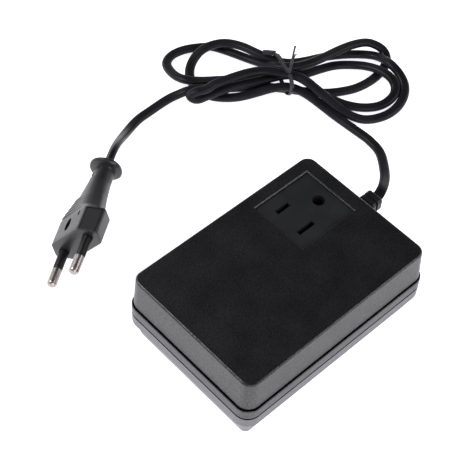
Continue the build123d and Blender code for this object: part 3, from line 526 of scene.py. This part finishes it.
case_black = moulded(
    "case_black", dark=(0.0022, 0.0024, 0.0036), light=(0.0042, 0.0044, 0.006),
    roughness=0.36, grain=0.0005, depth=0.0001, shine=upper_shine)
# The bottom shell's lighter grey is a painted reflection of the bright floor in its walls
lower_shell_painted_reflection = moulded(
    "lower_shell_painted_reflection", dark=(0.058, 0.058, 0.064), light=(0.072, 0.072, 0.079),
    roughness=0.36, grain=0.0005, depth=0.0001, shine=lower_shine)
outlet_black = moulded(
    "outlet_black", dark=(0.012, 0.0125, 0.0145), light=(0.017, 0.0175, 0.02),
    roughness=0.36, grain=0.0005, depth=0.00002)
jacket = moulded(
    "jacket", dark=(0.0065, 0.0066, 0.0085), light=(0.0125, 0.0127, 0.016),
    roughness=0.4, grain=0.0006, depth=0.00003, shine=jacket_shine)
plug_black = moulded(
    "plug_black", dark=(0.0095, 0.0097, 0.0115), light=(0.0165, 0.017, 0.0195),
    roughness=0.36, grain=0.0004, depth=0.00003, shine=0.55)
relief_black = moulded(
    "relief_black", dark=(0.0055, 0.0056, 0.007), light=(0.0095, 0.0097, 0.012),
    roughness=0.4, grain=0.0005, depth=0.00003, shine=0.35)
carrier_black = moulded(
    "carrier_black", dark=(0.007, 0.0072, 0.0085), light=(0.01, 0.0103, 0.012),
    roughness=0.5, grain=0.0004, depth=0.00003, shine=0.3)
sleeve_black = moulded(
    "sleeve_black", dark=(0.005, 0.005, 0.006), light=(0.008, 0.008, 0.009),
    roughness=0.42, grain=0.0005, depth=0.00001, shine=0.22)
tie_black = moulded(
    "tie_black", dark=(0.014, 0.0145, 0.017), light=(0.032, 0.033, 0.038),
    roughness=0.34, grain=0.0012, depth=0.00004, shine=0.4)
nickel = metal(
    "nickel", dark=(0.34, 0.3, 0.285), light=(0.46, 0.42, 0.395),
    roughness=0.33, streak=0.0004, stretch=(1.0, 1.0, 0.2))
steel = metal(
    "steel", dark=(0.42, 0.42, 0.44), light=(0.6, 0.6, 0.62),
    roughness=0.34, streak=0.0005, stretch=(1.0, 1.0, 1.0))
brass = metal(
    "brass", dark=(0.68, 0.46, 0.17), light=(0.82, 0.6, 0.27),
    roughness=0.3, streak=0.0005, stretch=(1.0, 1.0, 0.15))
laminations = banded(
    "laminations", dark=(0.1, 0.1, 0.11), light=(0.3, 0.3, 0.32),
    roughness=0.42, pitch=0.0005, direction="Z", depth=0.00003, metallic=1.0)
nylon = moulded(
    "nylon", dark=(0.62, 0.6, 0.52), light=(0.72, 0.7, 0.62),
    roughness=0.5, grain=0.0008, depth=0.00002)
enamel = banded(
    "enamel", dark=(0.28, 0.06, 0.02), light=(0.75, 0.27, 0.1),
    roughness=0.28, pitch=0.0004, direction="Y", depth=0.00008, metallic=0.7)
yellow_tape = moulded(
    "yellow_tape", dark=(0.6, 0.42, 0.04), light=(0.72, 0.53, 0.09),
    roughness=0.3, grain=0.0015, depth=0.00002)
fuse_case = metal(
    "fuse_case", dark=(0.55, 0.55, 0.56), light=(0.75, 0.75, 0.74),
    roughness=0.3, streak=0.0004, stretch=(1.0, 0.2, 1.0))
red_wire = moulded(
    "red_wire", dark=(0.3, 0.012, 0.01), light=(0.4, 0.02, 0.015),
    roughness=0.4, grain=0.0006, depth=0.00002)

# Painted shade in the seam and where the wall meets the rim
paint_line_shade(case_black, upper_shine, [seam_painted_shade, ledge_painted_shade])
paint_line_shade(lower_shell_painted_reflection, lower_shine, [seam_painted_shade])
duller_lead(jacket)


# Cord route: control points of one smooth spline, which rounds the corners of the CAD model's route

def hank_point(right, up, height):
    """A place in the hank, in its own axes."""
    return hank_middle + hank_right * right + hank_up * up + Vector((0.0, 0.0, height))


def hank_way(right, up, height):
    """A direction in the hank's own axes."""
    return hank_right * right + hank_up * up + Vector((0.0, 0.0, height))


# Control points through the hank, along the cord, in millimetres: right, up and height in its own axes
hank_entry_and_wide_left = [
    (33.5, -31.4, 1.8), (22.2, -21, 2.1), (16.1, -15.9, 3.5), (8.5, -10.2, 5.5), (1, -7.3, 6.4),
    (-6.4, -8, 5.5), (-13.8, -9.6, 3.5), (-21.3, -11.2, 2.1), (-28.9, -11.6, 1.8), (-35.7, -10.2, 1.8),
    (-41.2, -5.7, 1.8), (-43.9, 2.2, 1.7), (-42.8, 10.2, 2.4), (-38, 16.7, 4.7), (-29.1, 19.9, 6.1),
    (-20.5, 17.8, 6.4), (-12.9, 12.4, 7), (-6.3, 8.5, 6.7), (1.3, 7, 6.2)]
hank_wide_right = [
    (10.1, 9.9, 5.5), (17.9, 14.4, 4), (26.9, 18.2, 2.2), (35.7, 19.3, 1.8), (43.3, 17.5, 2.9),
    (48.4, 9.3, 6.4), (53, 3.8, 4.6), (55, -3, 3.1), (52.7, -11.2, 2.1), (47.1, -18, 1.7),
    (39.8, -21.8, 1.8), (33.1, -22.2, 1.7), (26.4, -19.9, 3.2), (18.8, -14.7, 6.3), (11.2, -8.4, 8.8),
    (4.6, -3.8, 9.7)]
hank_fold = [
    (-2, -2.8, 9.8), (-9.6, -1.1, 9.8), (-17.1, -2.7, 9.6), (-24.5, -5.9, 9.2), (-32.6, -9.6, 8.4),
    (-35.5, -13.5, 9), (-40.3, -15.3, 9.4), (-43.7, -15.8, 7), (-40.2, -16.4, 4.5), (-35.2, -13.1, 4.6),
    (-30.7, -11.1, 5.2), (-23.8, -8.3, 6), (-16.3, -5.7, 6.1), (-8, -3, 6.2)]
hank_low_right = [
    (1.5, 0.6, 6.2), (8.9, -2.7, 6.4), (14.5, -8.8, 5.2), (21.4, -11.7, 2.6), (29, -14.2, 1.7),
    (36.6, -15.1, 1.8), (43.6, -13.4, 1.9), (49, -8.7, 2.8), (50.5, -3.6, 3.7), (48.6, 0.7, 5.6),
    (43.6, 5.5, 5.6), (37.9, 9.7, 3.7), (31.3, 11.4, 2.5), (23.3, 10.9, 2.4), (16.3, 7.9, 2.5)]
hank_long_left = [
    (9.4, 4.2, 2.7), (1.7, 3.2, 2.7), (-6.8, 2.8, 2.5), (-15.1, 1.7, 2.1), (-23.6, 0.1, 1.9),
    (-31.2, -1.5, 2.7), (-38, -4.3, 4.7), (-44, -5.7, 6.2), (-49.3, -2.1, 4.6), (-52.8, 3.4, 3.1),
    (-54.6, 8.8, 2.4), (-52.4, 14.4, 1.8), (-47.8, 17.8, 1.8), (-43, 19.6, 1.8), (-38.1, 20.5, 1.8),
    (-33.3, 21.5, 1.7), (-24.1, 17.1, 2.2), (-16.5, 13.1, 2.4), (-9.9, 8.3, 4.3)]
hank_high_right = [
    (-3.4, 2.4, 8.8), (3.2, 1.1, 10), (10.1, 3.7, 9.6), (17.2, 8.6, 9.1), (24.5, 15, 8), (32, 20.3, 7),
    (38.6, 23.2, 6), (43.5, 22.3, 4.8), (46.8, 20.5, 3.3), (47.8, 16.3, 2.3), (46.9, 11.8, 1.8),
    (42, 4.2, 1.8)]
hank_way_out = [
    (33.5, -2.7, 1.8), (24.9, -5.6, 1.8), (16.6, -6.8, 1.8), (8.1, -6, 1.9), (0.7, -5.5, 2.7),
    (-7.6, -4.7, 2.7), (-16.7, -4.7, 2.2), (-26, -5.3, 1.8), (-33.6, -9, 5.1), (-39.5, -9.6, 5.5),
    (-44.4, -11.3, 5.4), (-48.2, -11.9, 3.7), (-53, -14, 2.5)]
hank_route = (
    hank_entry_and_wide_left + hank_wide_right + hank_fold + hank_low_right
    + hank_long_left + hank_high_right + hank_way_out)


def plug_place(across, out, forward):
    """A place near the plug in its own axes."""
    return plug_front + plug_across * across + plug_out * out + plug_axis * forward


def cord_controls():
    """The control points of the whole cord, from inside the strain relief to inside the plug."""
    points = [relief_end + Vector(offset) for offset in relief_points]
    points += [Vector(place) for place in lead_points]
    points += [hank_point(*(value * millimetre for value in point)) for point in hank_route]
    points += [Vector(place) for place in tail_points]
    points += [plug_place(0, 0, -back) for back in (tail_back, plug_length, flange_end)]
    return points


def cord_section():
    """The flat lead's outline: two round sides and a shallow groove between its cores."""
    end = cord_thickness / 2
    shift = cord_width / 2 - end
    outline = []
    for middle, start in ((shift, -90), (-shift, 90)):
        for step in range(cord_round_steps + 1):
            turn = math.radians(start + step * 180 / cord_round_steps)
            outline.append((middle + end * math.cos(turn), end * math.sin(turn)))
        height = math.copysign(end - cord_groove, -start)
        outline.append((0.0, height))
    return outline


def eased(share):
    """A share from 0 to 1 that starts and ends gently."""
    return share * share * (3 - 2 * share)


def make_cord():
    """The whole lead as one piece, and the line that it follows."""
    places = spline_points("cord_line", cord_controls(), cord_steps)
    ways = tangents(places)
    travelled = [0.0]
    for before, after in zip(places, places[1:]):
        travelled.append(travelled[-1] + (after - before).length)
    whole = travelled[-1]
    level = upwards.cross(ways[-1]).normalized()
    final = plug_across if plug_across.dot(level) > 0 else -plug_across
    sides = []
    for way, along in zip(ways, travelled):
        turned = min(max((along - whole + plug_turn_over) / plug_turn_over, 0.0), 1.0)
        levelled = min(along / lead_roll_over, 1.0)
        side = lead_face.lerp(upwards, eased(levelled)).cross(way).normalized()
        sides.append(side.lerp(final, eased(turned)))
    mesh = ring_mesh("mains_cord", swept_rings(places, cord_section(), sides))
    cord = new_object("mains_cord", mesh, jacket)
    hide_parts("cord_from_case", "cord_hank", "cord_to_plug")
    return cord, places


# Plug body

def plug_ring(back, sizes, rounding, swell=0.0):
    """A ring of the plug: eight rounded corners, this far behind its front. A swell lifts the ribbed side."""
    ribbed_half, ribbed_face, carrier_half, carrier_face, thickness, end_half = sizes
    side, face, lift = -ribbed_half - swell, -ribbed_face - swell, thickness + swell * swell_lift_share
    corners = [
        (carrier_face, thickness), (face, lift), (side, end_half), (side, -end_half), (face, -lift),
        (carrier_face, -thickness), (carrier_half, -end_half), (carrier_half, end_half)]
    ring = []
    for index, corner in enumerate(corners):
        before = Vector(corners[index - 1])
        after = Vector(corners[(index + 1) % len(corners)])
        here = Vector(corner)
        start = here + (before - here) * min(rounding / (before - here).length, corner_most_share)
        end = here + (after - here) * min(rounding / (after - here).length, corner_most_share)
        for step in range(corner_steps + 1):
            share = step / corner_steps
            place = start.lerp(here, share).lerp(here.lerp(end, share), share)
            ring.append(plug_place(place.x, place.y, -back))
    return ring


def flange_ring(back, half_width, half_thickness):
    """A ring of the flange: between an ellipse and a soft lozenge, in the plug ring's order."""
    ring = []
    for step in range(flange_points):
        turn = math.radians(360 * step / flange_points + flange_first_degrees)
        across, out = math.cos(turn), math.sin(turn)
        swell = 1 - flange_lozenge_share * (1 - math.cos(4 * turn)) / 2
        ring.append(plug_place(half_width * across * swell, half_thickness * out * swell, -back))
    return ring


def plug_sizes(back):
    """The plug's section at a place behind the front, between the stops along it."""
    for low, high in zip(plug_stops, plug_stops[1:]):
        if back <= high[0]:
            share = (back - low[0]) / (high[0] - low[0])
            return [first + (second - first) * share for first, second in zip(low[1:], high[1:])]
    return list(plug_stops[-1][1:])


def box_mesh(name, middle, along, wide, out, sizes):
    """A box round a point, with its half sizes along three directions."""
    rings = [
        [middle + along * (x * sizes[0]) + wide * (y * sizes[1]) + out * (z * sizes[2])
         for x, y in ((-1, -1), (1, -1), (1, 1), (-1, 1))]
        for z in (-1, 1)]
    return ring_mesh(name, rings)


def oval_mesh(name, middle, along, wide, out, sizes):
    """An oval block round a point, used to cut a hole."""
    turns = [2 * math.pi * step / oval_points for step in range(oval_points)]
    rings = [
        [middle + along * (sizes[0] * math.cos(turn)) + wide * (sizes[1] * math.sin(turn))
         + out * (z * sizes[2]) for turn in turns]
        for z in (-1, 1)]
    return ring_mesh(name, rings)


def cut(piece, cutters):
    """Cut shapes out of a piece and leave a plain mesh."""
    helpers = []
    for shape in cutters:
        helper = bpy.data.objects.new("cutter", shape)
        scene.collection.objects.link(helper)
        modifier = piece.modifiers.new("cut", "BOOLEAN")
        modifier.operation = "DIFFERENCE"
        modifier.solver = "EXACT"
        modifier.object = helper
        helpers.append(helper)
    bpy.context.view_layer.update()
    done = bpy.data.meshes.new_from_object(piece.evaluated_get(bpy.context.evaluated_depsgraph_get()))
    old = piece.data
    piece.modifiers.clear()
    piece.data = done
    bpy.data.meshes.remove(old)
    for helper in helpers:
        shape = helper.data
        bpy.data.objects.remove(helper)
        bpy.data.meshes.remove(shape)
    smooth(piece.data, plug_smooth_degrees)


def plug_rings():
    """The rings of the plug's moulding, from its rounded front edge to the collar behind the flange."""
    rings = []
    front = plug_sizes(0.0)
    for step in range(front_edge_steps + 1):
        turn = math.radians(90 * step / front_edge_steps)
        inset = front_edge * (1 - math.sin(turn))
        sizes = [front[0] - inset, front[1] - inset / 2, front[2] - inset, front[3] - inset / 2,
                 front[4] - inset, front[5]]
        rings.append(plug_ring(front_edge * (1 - math.cos(turn)), sizes, plug_round))
    back = first_ring
    while back < flange_back - last_ring_ahead:
        swell = 0.0
        if ribs_start < back < ribs_end and (back - ribs_start) % rib_pitch < rib_pitch * rib_share:
            swell = rib_height
        if abs(back - notch_back) < notch_half:
            swell = -notch_depth
        rounder = min(max((back - plug_straight) / round_over, 0.0), 1.0)
        rings.append(plug_ring(back, plug_sizes(back), plug_round + rounder * round_more, swell))
        back += ring_step
    rings.append(flange_ring(flange_back - neck_ahead, neck_half_width, neck_half_thickness))
    for start, stops in ((flange_back, flange_stops), (flange_end, collar_stops)):
        for away, share in stops:
            rings.append(flange_ring(start + away, flange_half_width * share, flange_half_thickness * share))
    return rings


def plug_cutters():
    """The shapes that are cut out of the plug."""
    bevel_across = plug_half_width - plug_face_half
    bevel_out = plug_half_thickness - plug_end_half
    bevel_way = (plug_across * bevel_out + plug_out * bevel_across).normalized()
    bevel_side = plug_axis.cross(bevel_way).normalized()
    window = plug_place(plug_face_half + bevel_across / 2, plug_end_half + bevel_out / 2, -plug_straight / 2)
    cutters = [box_mesh("window", window, plug_axis, bevel_side, bevel_way, window_half_sizes)]
    for side in (1, -1):
        hole = plug_place(hole_across, side * plug_half_thickness, -hole_back)
        cutters.append(oval_mesh("hole", hole, plug_axis, plug_across, plug_out, hole_half_sizes))
    mark = plug_place(mark_across, plug_half_thickness, -mark_back)
    cutters.append(oval_mesh("mark", mark, plug_axis, plug_across, plug_out, mark_half_sizes))
    for side in (-1, 1):
        root = plug_place(side * socket_across, 0.0, 0.0)
        cutters.append(oval_mesh("socket", root, plug_across, plug_out, plug_axis, socket_half_sizes))
    return cutters


def make_plug_body():
    """The plug's moulding with its hollows."""
    mesh = ring_mesh("plug_moulding", plug_rings())
    plug = new_object("plug_moulding", mesh, plug_black)
    cut(plug, plug_cutters())
    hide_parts("plug_body")
    return plug


# Pin sleeves: flush with the bare pins, and a little wider at their roots

def sleeve_rings(middle, way):
    """The rings of the sleeve on one pin."""
    side = way.cross(upwards).normalized()
    up = way.cross(side)
    turns = [2 * math.pi * step / sleeve_sides for step in range(sleeve_sides)]
    return [
        [middle - way * back + side * (radius * math.cos(turn)) + up * (radius * math.sin(turn))
         for turn in turns]
        for back, radius in sleeve_stops]


def make_sleeves():
    """Both sleeves as one piece."""
    sleeves = [ring_mesh("pin_sleeve", sleeve_rings(middle, way)) for middle, way in pin_lines]
    whole = joined_mesh("pin_insulation", sleeves)
    smooth(whole)
    piece = new_object("pin_insulation", whole, sleeve_black)
    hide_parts("pin_sleeves")
    return piece


# Twist tie

def ribbon_section(width, wire):
    """The ribbon's outline with a bulge over its wire."""
    half, flat = width / 2, tie_thickness / 2
    return [
        (half, 0.0), (half * ribbon_flat_share, flat), (wire, flat), (wire * wire_shoulder_share, wire),
        (0.0, wire * wire_top_share), (-wire * wire_shoulder_share, wire), (-wire, flat),
        (-half * ribbon_flat_share, flat), (-half, 0.0), (-half * ribbon_flat_share, -flat), (-wire, -flat),
        (0.0, -wire), (wire, -flat), (half * ribbon_flat_share, -flat)]


def tie_line(points, steps=tie_steps):
    """A smooth line through the hank's own axes."""
    return spline_points("tie_line", [hank_point(*point) for point in points], steps)


def tie_band():
    """The turn round the hank's waist, flat against its strands."""
    heart = hank_point(*tie_heart)
    places = tie_line(tie_loop)
    sides = [(place - heart).cross(way) for place, way in zip(places, tangents(places))]
    return ring_mesh("tie_band", swept_rings(places, ribbon_section(tie_width, tie_wire), sides))


def twisted_strand(phase):
    """One of the two strands that are twisted together above the waist."""
    middle = tie_line(twist_line, twist_steps)
    line, sides = [], []
    for index, (place, way) in enumerate(zip(middle, tangents(middle))):
        angle = phase + 2 * math.pi * twist_turns * index / (len(middle) - 1)
        first = way.cross(upwards).normalized()
        second = way.cross(first)
        out = first * math.cos(angle) + second * math.sin(angle)
        line.append(place + out * twist_radius)
        sides.append(out.cross(way))
    section = ribbon_section(twist_width, tie_wire * twist_wire_share)
    return ring_mesh("tie_twist", swept_rings(line, section, sides))


def tie_tail(points, width, way):
    """A loose end of the ribbon."""
    line = tie_line(points)
    rings = swept_rings(line, ribbon_section(width, tie_wire), [hank_way(*way)] * len(line))
    return ring_mesh("tie_tail", rings)


def make_tie():
    """The tie as one piece: its band, its twist and its ends."""
    meshes = [tie_band()]
    meshes += [twisted_strand(phase) for phase in (0.0, math.pi)]
    meshes += [tie_tail(*tail) for tail in tie_tails]
    whole = joined_mesh("twist_tie_ribbon", meshes)
    smooth(whole, tie_smooth_degrees)
    tie = new_object("twist_tie_ribbon", whole, tie_black)
    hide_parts("twist_tie")
    return tie


# Carried-over nodes

def dress(name, finish):
    """Give a CAD node its material."""
    mesh = nodes[name].data
    if not mesh.materials:
        mesh.materials.append(finish)
    for index in range(len(mesh.materials)):
        mesh.materials[index] = finish


finishes = {
    case_black: ["top_shell"],
    # The bottom shell's lighter grey is a painted reflection of the floor
    lower_shell_painted_reflection: ["bottom_shell"],
    outlet_black: ["outlet_face", "outlet_back"],
    steel: ["case_screws", "outlet_back_screws", "core_screws", "core_washers"],
    brass: ["line_contact", "neutral_contact", "bobbin_terminals"],
    laminations: ["core_e_stack", "core_i_stack"],
    nylon: ["bobbin"],
    enamel: ["winding_inner", "winding_outer"],
    yellow_tape: ["winding_tape", "outer_tape"],
    fuse_case: ["thermal_fuse"],
    red_wire: ["wire_in_line", "wire_fuse_out", "wire_out_line", "wire_in_neutral", "wire_out_neutral"],
    jacket: ["cord_inside_relief"],
    relief_black: ["strain_relief"],
    carrier_black: ["pin_carrier"],
    nickel: ["plug_pins"],
    sleeve_black: ["pin_sleeves"],
    plug_black: ["plug_body"],
    tie_black: ["twist_tie"],
}
for finish, names in finishes.items():
    for name in names:
        dress(name, finish)


# Stage and light

def make_floor():
    """A wide white floor that glows a little, so that it shows no edge and soft shadows."""
    mesh = bpy.data.meshes.new("floor")
    half = floor_size / 2
    corners = [(-half, -half, 0), (half, -half, 0), (half, half, 0), (-half, half, 0)]
    mesh.from_pydata(corners, [], [(0, 1, 2, 3)])
    floor = bpy.data.objects.new("floor", mesh)
    scene.collection.objects.link(floor)
    made, _, shader = material("floor_white")
    shader.inputs["Base Color"].default_value = floor_colour
    shader.inputs["Roughness"].default_value = floor_roughness
    shader.inputs["Specular IOR Level"].default_value = floor_shine
    shader.inputs["Emission Color"].default_value = floor_glow_colour
    shader.inputs["Emission Strength"].default_value = floor_glow
    mesh.materials.append(made)


def make_sky():
    """A world of greys from the horizon up."""
    world = bpy.data.worlds.new("studio")
    world.use_nodes = True
    scene.world = world
    tree = world.node_tree
    place = tree.nodes.new("ShaderNodeTexCoord")
    split = tree.nodes.new("ShaderNodeSeparateXYZ")
    tree.links.new(place.outputs["Generated"], split.inputs["Vector"])
    sky = colour_ramp(tree, split.outputs["Z"], sky_stops)
    tree.links.new(sky, tree.nodes["Background"].inputs["Color"])
    tree.nodes["Background"].inputs["Strength"].default_value = sky_strength


def make_lamps():
    """Round soft lamps that point at the part."""
    for name, place, size, power in lamps:
        light = bpy.data.lights.new(name, "AREA")
        light.shape = "DISK"
        light.size = size
        light.energy = power
        lamp = bpy.data.objects.new(name, light)
        lamp.location = place
        lamp.rotation_euler = (-Vector(place)).to_track_quat("-Z", "Y").to_euler()
        scene.collection.objects.link(lamp)


make_camera()
cord, cord_places = make_cord()
plug = make_plug_body()
tie = make_tie()
sleeves = make_sleeves()
make_floor()
make_sky()
make_lamps()
scene.view_settings.view_transform = "Standard"
